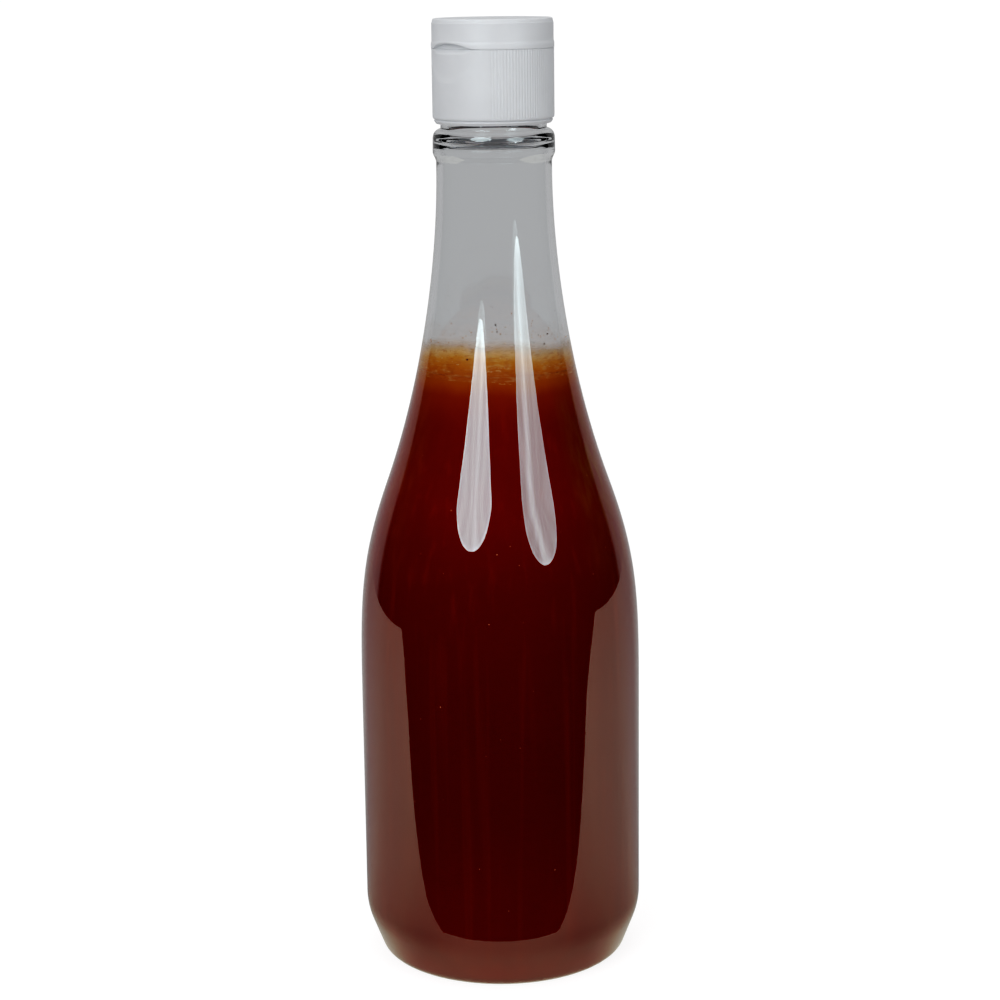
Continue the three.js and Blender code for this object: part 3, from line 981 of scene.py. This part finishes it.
def notch_height(x):
    """Height of the notch's arch at a distance from the middle of the lid."""
    for (x0, z0), (x1, z1) in zip(notch_arch, notch_arch[1:]):
        if x1 <= abs(x) <= x0:
            return z0 + (z1 - z0) * (x0 - abs(x)) / (x0 - x1)
    return 0


def notch_share(x):
    """How deep the notch is at a distance from the middle of the lid, from 0 to 1."""
    return (notch_height(x) / NOTCH_HEIGHT) ** 0.6


print("the notch is", round(2 * NOTCH_HALF_WIDTH, 1), "mm wide")

# %% [markdown]
# The skirt's ribs are grip for the hand. They are so fine that a bump map might do, but their
# crests show against the light at the edge of the cap, so they are real: a rounded wave on the
# skirt's radius, with eight steps to a rib. The same function presses the shallow dish into the
# smooth panel and lets the notch run into it.

# %% Shape of the skirt
STEPS_PER_RIB = 8
RIB_FADE = math.radians(1.6)
DISH_HALF_ANGLE, DISH_HEIGHT, DISH_DEPTH = math.radians(36), 8.0, 0.22


def rib_radius(angle):
    """Radius of the skirt: rounded ribs, and a smooth panel at the front."""
    wave = math.cos(angle * RIB_COUNT)
    crest = RIB_VALLEY + (RIB_CREST - RIB_VALLEY) * (0.5 + 0.5 * wave) ** 0.8
    ribbed = min(max((from_front(angle) - PANEL_HALF_ANGLE) / RIB_FADE, 0), 1)
    return SKIRT_RADIUS + (crest - SKIRT_RADIUS) * ribbed


def dish_depth(height, angle):
    """Depth of the shallow thumb dish in the smooth panel, under the notch."""
    across = from_front(angle) / DISH_HALF_ANGLE
    down = (SKIRT_TOP - height) / DISH_HEIGHT
    inside_dish = 1 - across * across - down * down
    return DISH_DEPTH * min(max(inside_dish, 0) * 3, 1)


def scoop_depth(height, angle):
    """Depth of the notch where it runs on into the top of the skirt."""
    down = min(max((SKIRT_TOP - height) / SCOOP_HEIGHT, 0), 1)
    across = SKIRT_RADIUS * math.sin(from_front(angle)) if from_front(angle) < 1 else SKIRT_RADIUS
    return SCOOP_DEPTH * notch_share(across) * (1 - down) ** 1.6


def ribbed_base(radius, height, angle):
    """Puts the ribs, the dish and the notch on the skirt, and the flat behind the hinge."""
    if radius >= SKIRT_RADIUS - 0.1 and height > SKIRT_LOW:
        radius += rib_radius(angle) - SKIRT_RADIUS
        radius -= max(dish_depth(height, angle), scoop_depth(height, angle))
    return cut_at_hinge(radius * math.cos(angle), radius * math.sin(angle), height)


print("the ribs stand", round(RIB_CREST - RIB_VALLEY, 2), "mm proud")

# %% [markdown]
# The outline of the lower part starts under the band, climbs the skirt, crosses the snap ring and
# the deck to the spout, and comes back through the bore. The long straight stretches are cut into
# rows where the notch and the flat behind the hinge need points to move.

# %% Cap base
SOFT_EDGE = 0.06
band_top = BAND_LOW + BAND_HEIGHT
scoop_low = SKIRT_TOP - SCOOP_HEIGHT
base_outline = [
    (CAP_BORE, BAND_LOW),
    (BAND_RADIUS[0], BAND_LOW),
    (BAND_RADIUS[1], BAND_LOW + BAND_HEIGHT / 2),
    (BAND_RADIUS[2] - SOFT_EDGE, band_top - 0.2),
    (BAND_RADIUS[2] - 2 * SOFT_EDGE, band_top),
    (BAND_GROOVE, band_top + 0.05),
    (BAND_GROOVE, SKIRT_LOW),
    *rounded((SKIRT_RADIUS, SKIRT_LOW), (-0.5, 0), (0, SKIRT_EDGE), 6),
    *line((SKIRT_RADIUS, SKIRT_LOW + SKIRT_EDGE), (SKIRT_RADIUS, HINGE_FLAT_LOW - 0.2), 4),
    (SKIRT_RADIUS, HINGE_FLAT_LOW - 0.2),
    (SKIRT_RADIUS, HINGE_FLAT_LOW),
    *line((SKIRT_RADIUS, HINGE_FLAT_LOW + 0.1), (SKIRT_RADIUS, scoop_low), 8),
    *line((SKIRT_RADIUS, scoop_low), (SKIRT_RADIUS, SKIRT_TOP - SOFT_EDGE), 10),
    *rounded((SKIRT_RADIUS, SKIRT_TOP), (0, -SOFT_EDGE), (-SOFT_EDGE, 0), 3),
    (SKIRT_RADIUS - SOFT_EDGE, SKIRT_TOP),
    (RING_OUTER, SKIRT_TOP),
    *rounded((RING_OUTER, RING_TOP), (0, -RING_ROUND), (-RING_ROUND, 0), 4),
    *rounded((RING_INNER, RING_TOP), (RING_ROUND, 0), (0, -RING_ROUND), 4),
    (RING_INNER, RING_TOP - RING_ROUND),
    *rounded((RING_INNER, DECK_TOP), (0, DECK_FILLET), (-DECK_FILLET, 0), 4),
    *line((RING_INNER - DECK_FILLET, DECK_TOP), (SPOUT_FOOT + 0.3, DECK_TOP), 3),
    *corner((SPOUT_FOOT + 0.3, DECK_TOP), (SPOUT_OUTER, DECK_TOP), (SPOUT_OUTER, DECK_TOP + 0.9), 5),
    *line((SPOUT_OUTER, DECK_TOP + 0.9), (SPOUT_LIP, SPOUT_TOP - LIP_ROUND), 3),
    *rounded((SPOUT_LIP, SPOUT_TOP), (0, -LIP_ROUND), (-LIP_ROUND, 0), 4),
    *rounded((SPOUT_BORE, SPOUT_TOP), (0.2, 0), (0, -0.2), 3),
    (SPOUT_BORE, SPOUT_TOP - 0.2),
    (SPOUT_BORE, DECK_LOW),
    (CAP_BORE, DECK_LOW),
    (CAP_BORE, BAND_LOW),
]
base = turn("cap_base_ribbed", base_outline, RIB_COUNT * STEPS_PER_RIB, ribbed_base)
dress(base, "bottle_body", "cap_plastic", CAP_PLASTIC, "cap_base")

# %% [markdown]
# The lid is a shallow dish turned upside down, with a plug in the middle that closes the spout. A
# low rim over the parting line gives it its edge. Its four lowest rows of points are hollowed to
# make the notch, and the rows above them close up evenly, so that no face is stretched.

# %% Lid
LID_LOW, LID_TOP, LID_RADIUS, LID_RIM_HEIGHT = 232.54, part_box("cap_lid")[1][2] / MM, 15.09, 1.2
LID_WAIST, LID_EDGE_HEIGHT, RIM_FADE = 14.93, 1.5, 0.8
LID_BORE, LID_CORNER, LID_CEILING = 13.3, 0.4, 238.3
PLUG_ROOT, PLUG_TIP, PLUG_LOW, PLUG_ROUND, PLUG_FILLET = 2.5, 2.1, 235.4, 0.4, 0.5
NOTCH_ROWS = (LID_LOW, LID_LOW + 0.1, LID_LOW + 0.2, LID_LOW + 0.3)
NOTCH_PROFILE = ((0.9, 0.0), (1.0, 0.9), (0.04, 0.97), (0.0, 1.0))
NOTCH_EDGE = 0.2

rim_top = LID_LOW + LID_RIM_HEIGHT
waist_top = LID_TOP - LID_EDGE_HEIGHT


def notched_lid(radius, height, angle):
    """Hollows the thumb notch into the front of the lid's lower edge, and cuts its back flat.
    Its profile gives each of the lowest rows a share of the depth and a share of the lift."""
    x, y = radius * math.cos(angle), radius * math.sin(angle)
    tall = notch_height(x) if y < 0 and radius > LID_BORE else 0
    if tall > 0:
        lift = max(tall - NOTCH_EDGE, 0)
        if height in NOTCH_ROWS:
            deep, high = NOTCH_PROFILE[NOTCH_ROWS.index(height)]
            radius -= deep * NOTCH_DEPTH * notch_share(x)
            height += high * lift
        elif height < rim_top + RIM_FADE:
            share = (height - NOTCH_ROWS[3]) / (rim_top + RIM_FADE - NOTCH_ROWS[3])
            start = NOTCH_ROWS[3] + lift
            height = start + (rim_top + RIM_FADE - start) * share
        x, y = radius * math.cos(angle), radius * math.sin(angle)
    return cut_at_hinge(x, y, height)


lid_outline = [
    (0, PLUG_LOW),
    *rounded((PLUG_TIP, PLUG_LOW), (-PLUG_ROUND, 0), (0, PLUG_ROUND), 4),
    (PLUG_TIP, PLUG_LOW + PLUG_ROUND),
    *rounded((PLUG_ROOT, LID_CEILING), (0, -PLUG_FILLET), (PLUG_FILLET, 0), 4),
    (PLUG_ROOT + PLUG_FILLET, LID_CEILING),
    *rounded((LID_BORE, LID_CEILING), (-LID_CORNER, 0), (0, -LID_CORNER), 4),
    (LID_BORE, LID_CEILING - LID_CORNER),
    (LID_BORE, LID_LOW),
    (LID_RADIUS - 0.04, NOTCH_ROWS[0]),
    (LID_RADIUS, NOTCH_ROWS[1]),
    (LID_RADIUS, NOTCH_ROWS[2]),
    (LID_RADIUS, NOTCH_ROWS[3]),
    (LID_RADIUS, rim_top),
    (LID_RADIUS - 0.03, rim_top + 0.15),
    (LID_WAIST + 0.03, rim_top + 0.45),
    (LID_WAIST, rim_top + RIM_FADE),
    (LID_WAIST, waist_top),
    (LID_WAIST - 0.02, LID_TOP - 1.0),
    (LID_WAIST - 0.12, LID_TOP - 0.9),
    *corner((LID_WAIST - 0.14, LID_TOP - 0.8), (LID_WAIST - 0.2, LID_TOP), (LID_WAIST - 0.6, LID_TOP), 8),
    (LID_WAIST - 0.6, LID_TOP),
    *line((LID_WAIST - 1.3, LID_TOP), (0, LID_TOP), 6),
    (0, LID_TOP),
]
lid = turn("cap_lid_notched", lid_outline, 360, notched_lid)
dress(lid, "flip_lid", "cap_plastic", CAP_PLASTIC, "cap_lid")

# %% [markdown]
# The lid hangs on a living hinge: a thin web of the cap's own plastic that bends. A rigid strip
# would tear off one part when the lid opens. This one is a thin strip of many rows across the
# joint, waisted where it bends.

# %% Hinge web
WEB_HALF_WIDTH, WEB_THICK, WEB_LOW, WEB_HIGH = 3.6, 0.32, 231.2, 234.1
WEB_PROUD, WEB_WAIST, WEB_BEND = 0.12, 0.7, 0.5
WEB_ROWS = 28


def hinge_web():
    """A thin strip that lies in the flat at the back, waisted where it bends."""
    bm = bmesh.new()
    rows = []
    for i in range(WEB_ROWS + 1):
        height = WEB_LOW + (WEB_HIGH - WEB_LOW) * i / WEB_ROWS
        far = min(abs(height - HINGE_HEIGHT) / WEB_BEND, 1)
        front = HINGE_FLAT_Y - WEB_THICK * (WEB_WAIST + (1 - WEB_WAIST) * far)
        back = HINGE_FLAT_Y + WEB_PROUD * far
        corners = ((-1, front), (1, front), (1, back), (-1, back))
        rows.append([bm.verts.new(Vector((WEB_HALF_WIDTH * side, y, height)) * MM) for side, y in corners])
    for low, high in zip(rows, rows[1:]):
        for k in range(4):
            bm.faces.new((low[k], low[(k + 1) % 4], high[(k + 1) % 4], high[k]))
    bm.faces.new(list(reversed(rows[0])))
    bm.faces.new(rows[-1])
    bmesh.ops.recalc_face_normals(bm, faces=bm.faces)
    return piece_of("hinge_web", mesh_from("hinge_web", bm))


web = hinge_web()
web.data.materials.append(CAP_PLASTIC)
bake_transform(web)
print("web is", WEB_THICK, "mm thick in", WEB_ROWS, "rows")

# %% [markdown]
# Two round studio lamps stood to the left and right of the camera. Their light could come from
# area lights alone, but the bottle mirrors their faces as two long bright lobes, with the folds of
# the cloth over them. So each lamp is an even light that nothing mirrors, and a patterned face
# that is only seen in mirrors and lights nothing. Its glow is weaker on rays that have passed the
# wall, because the inner wall mirrors it a second time.

# %% Lamps
LAMP_AIM = Vector((0, 0, 150)) * MM
LAMP_TINT = (0.84, 1.0, 1.04)
FOLD_SHARE = 1 / 24


def hide_from(thing, *rays):
    """Hides a stage piece from kinds of rays."""
    for ray in rays:
        setattr(thing, "visible_" + ray, False)


def new_glow(name):
    """A material that only glows, the wiring of its nodes and its glow."""
    material = bpy.data.materials.new(name)
    material.use_nodes = True
    material.node_tree.nodes.clear()
    wiring = Wiring(material.node_tree)
    glow = wiring.add("Emission")
    wiring.set(wiring.add("OutputMaterial"), Surface=glow.outputs["Emission"])
    return material, wiring, glow


def lamp_glow(name, inner, rim, streak):
    """The glow of a lamp's face: folds, a bright streak and a rim. The streak is its direction
    across the face, its distance from the middle and its strength."""
    material, wiring, glow = new_glow(name)
    direction, distance, strength = streak
    round_face = wiring.set(wiring.add("TexGradient", gradient_type="RADIAL"), Vector=wiring.place())
    fold = wiring.number("PINGPONG", round_face.outputs["Fac"], FOLD_SHARE)
    across = wiring.vector("DOT_PRODUCT", wiring.place(), direction)
    off_streak = wiring.number("ABSOLUTE", wiring.number("SUBTRACT", across, distance))
    passed_wall = wiring.add("LightPath").outputs["Is Transmission Ray"]
    brightness = wiring.product(
        wiring.span(wiring.vector("LENGTH", wiring.place()), 0.92, 0.97, inner, rim),
        wiring.span(fold, 0, FOLD_SHARE, 0.9, 1.12),
        wiring.span(off_streak, 0.02, 0.26, strength, 1.0),
        wiring.span(passed_wall, 0, 1, 1.0, 0.25),
    )
    wiring.set(glow, Color=LAMP_TINT, Strength=brightness)
    return material


def lamp_face(name, radius, glow):
    """The round face of a lamp, which is seen only as the bottle mirrors it."""
    bm = bmesh.new()
    bmesh.ops.create_circle(bm, cap_ends=True, segments=96, radius=1.0)
    face = linked(name, mesh_from(name, bm))
    face.scale = (radius * MM, radius * MM, radius * MM)
    face.data.materials.append(glow)
    hide_from(face, "camera", "diffuse", "shadow")
    return face


def lamp(name, azimuth, elevation, distance, radius, inner, rim, watts, streak):
    """A round soft lamp that the camera doesn't see. Angles are from the camera's direction."""
    raised = math.radians(elevation)
    direction = level_direction(azimuth) * math.cos(raised) + straight_up * math.sin(raised)
    light = bpy.data.lights.new(name, "AREA")
    light.shape = "DISK"
    light.size = 2 * radius * MM
    light.energy = watts
    holder = linked(name, light)
    hide_from(holder, "camera", "glossy", "transmission")
    face_name = name + "_face"
    face = lamp_face(face_name, radius, lamp_glow(face_name, inner, rim, streak))
    for thing in (holder, face):
        thing.location = LAMP_AIM + direction * distance * MM
        thing.rotation_euler = direction.to_track_quat("Z", "Y").to_euler()
    print(name, "of", watts, "W at", distance, "mm")


lamp("left_lamp", -25.7, 29.0, 441, 145.1, 7.6, 10.5, 0.66, ((0.95, 0.3, 0), -0.05, 1.2))
lamp("right_lamp", 41.5, 21.5, 495.5, 140.2, 4.5, 6.5, 0.27, ((0.9, 0.42, 0), -0.4, 1.8))

# %% [markdown]
# The bottle stood on a pale table, which it mirrors as broad pale bands along both sides of its
# body. The picture itself is cut out on white. One sheet can't be both, so the table is seen only
# in mirrors, with its glow brightest in front and weakest in the bottle's own shade, and a plain
# pale floor lies under it for the camera.

# %% Table and floor
TABLE_EDGE = (
    (-560, 1500), (-560, -45), (-380, -57), (-100, -55.5), (-73, -54), (-47, -55.5), (0, -61),
    (42, -59.5), (66, -63), (147, -78), (265, -96), (371, -101), (820, -96), (820, 1500),
)
TABLE_DROP = 0.0002
FLOOR_REACH = 40000
GLOW_BY_SIDE = (
    (-1.0, 0.4, 0.98), (-0.72, 0.43, 0.97), (-0.59, 0.57, 0.94), (-0.42, 0.75, 0.88),
    (-0.2, 0.89, 0.84), (0.04, 1.1, 0.83), (0.3, 1.36, 0.8), (0.7, 1.4, 0.8), (0.95, 2.0, 0.78),
)
GLOW_BY_DISTANCE = (
    (55, 0.5), (72, 0.62), (90, 0.74), (111, 0.84), (140, 0.92), (178, 1.0), (240, 1.05),
)
GLOW_REACH = 400


def plate(name, corners, material):
    """A flat sheet at the height of the floor. Corners are right of and behind the bottle."""
    bm = bmesh.new()
    bm.faces.new([bm.verts.new((picture_right * x - toward_camera * y) * MM) for x, y in corners])
    sheet = linked(name, mesh_from(name, bm))
    sheet.data.materials.append(material)
    print(name, "has", len(corners), "corners")
    return sheet


def table_glow():
    """The glow by side and by distance. A ramp holds colours up to 1, so it holds half of each."""
    material, wiring, glow = new_glow("pale table")
    place = wiring.place()
    facing = wiring.vector("DOT_PRODUCT", wiring.vector("NORMALIZE", place), toward_camera)
    by_side = (
        ((side + 1) / 2, (share / 2, share / 2, share / 2 * blue))
        for side, share, blue in GLOW_BY_SIDE
    )
    by_distance = ((far / GLOW_REACH, [share / 2] * 3) for far, share in GLOW_BY_DISTANCE)
    distance = wiring.span(wiring.vector("LENGTH", place), 0, GLOW_REACH * MM)
    wiring.set(
        glow,
        Color=wiring.ramp(wiring.span(facing, -1, 1), *by_side),
        Strength=wiring.number("MULTIPLY", wiring.ramp(distance, *by_distance), 4.0),
    )
    return material


def pale_floor():
    material, wiring, shader = new_look("pale floor")
    wiring.set(
        shader,
        Base_Color=(0.35, 0.35, 0.35),
        Roughness=0.9,
        Specular_IOR_Level=0.0,
        Emission_Color=(1, 1, 1),
        Emission_Strength=0.82,
    )
    return material


table = plate("pale_table", TABLE_EDGE, table_glow())
hide_from(table, "camera", "diffuse", "transmission", "shadow")
table.location.z = -TABLE_DROP
floor_corners = [(x * FLOOR_REACH, y * FLOOR_REACH) for x, y in ((-1, -1), (1, -1), (1, 1), (-1, 1))]
floor = plate("pale_floor", floor_corners, pale_floor())
hide_from(floor, "glossy", "diffuse", "transmission", "shadow")

# %% [markdown]
# The room is a world that answers each kind of ray in its own way, as a studio does with cards and
# flags: soft light all round with a broad one overhead, a dark room in front that keeps the sauce
# deep in its mirror, a pale wall behind, and an even grey through the clear neck.

# %% Room
def studio_room():
    world = bpy.data.worlds.new("studio")
    bpy.context.scene.world = world
    world.use_nodes = True
    wiring = Wiring(world.node_tree)
    rays = wiring.add("LightPath").outputs

    def along(direction):
        return wiring.vector("DOT_PRODUCT", wiring.place("Generated"), direction)

    raised = along(straight_up)
    colour = wiring.mix(wiring.span(raised, -0.8, 0.8), (0.28, 0.28, 0.283), (0.36, 0.36, 0.364))
    colour = wiring.mix(wiring.span(raised, 0.78, 0.86), colour, (1.2, 1.2, 1.2))
    behind = wiring.span(along(toward_camera), -0.57, -0.5, 1.0, 0.0)
    mirrored = wiring.mix(behind, (0.0, 0.0, 0.0), (0.43, 0.43, 0.435))
    colour = wiring.mix(rays["Is Glossy Ray"], colour, mirrored)
    colour = wiring.mix(rays["Is Transmission Ray"], colour, (0.388, 0.393, 0.403))
    colour = wiring.mix(rays["Is Camera Ray"], colour, (1.0, 1.0, 1.0))
    wiring.set(world.node_tree.nodes["Background"], Color=colour, Strength=1.0)
    print("world", world.name, "has", len(world.node_tree.nodes), "nodes")


studio_room()

# %% [markdown]
# A camera's own picture has a soft toe: its darkest tones fall off faster than the light does.
# Darker materials could copy that in one light only, so a tone curve does it for the whole
# picture, and leaves all that is brighter than a fifth as it is.

# %% Tone
TOE = ((0.03, 0.007), (0.07, 0.033), (0.11, 0.074), (0.16, 0.146), (0.2, 0.2))
settings = bpy.context.scene.view_settings
settings.view_transform = "Standard"
settings.use_curve_mapping = True
for point in TOE:
    settings.curve_mapping.curves[3].points.new(*point)
settings.curve_mapping.update()
print("tone curve has", len(settings.curve_mapping.curves[3].points), "points")
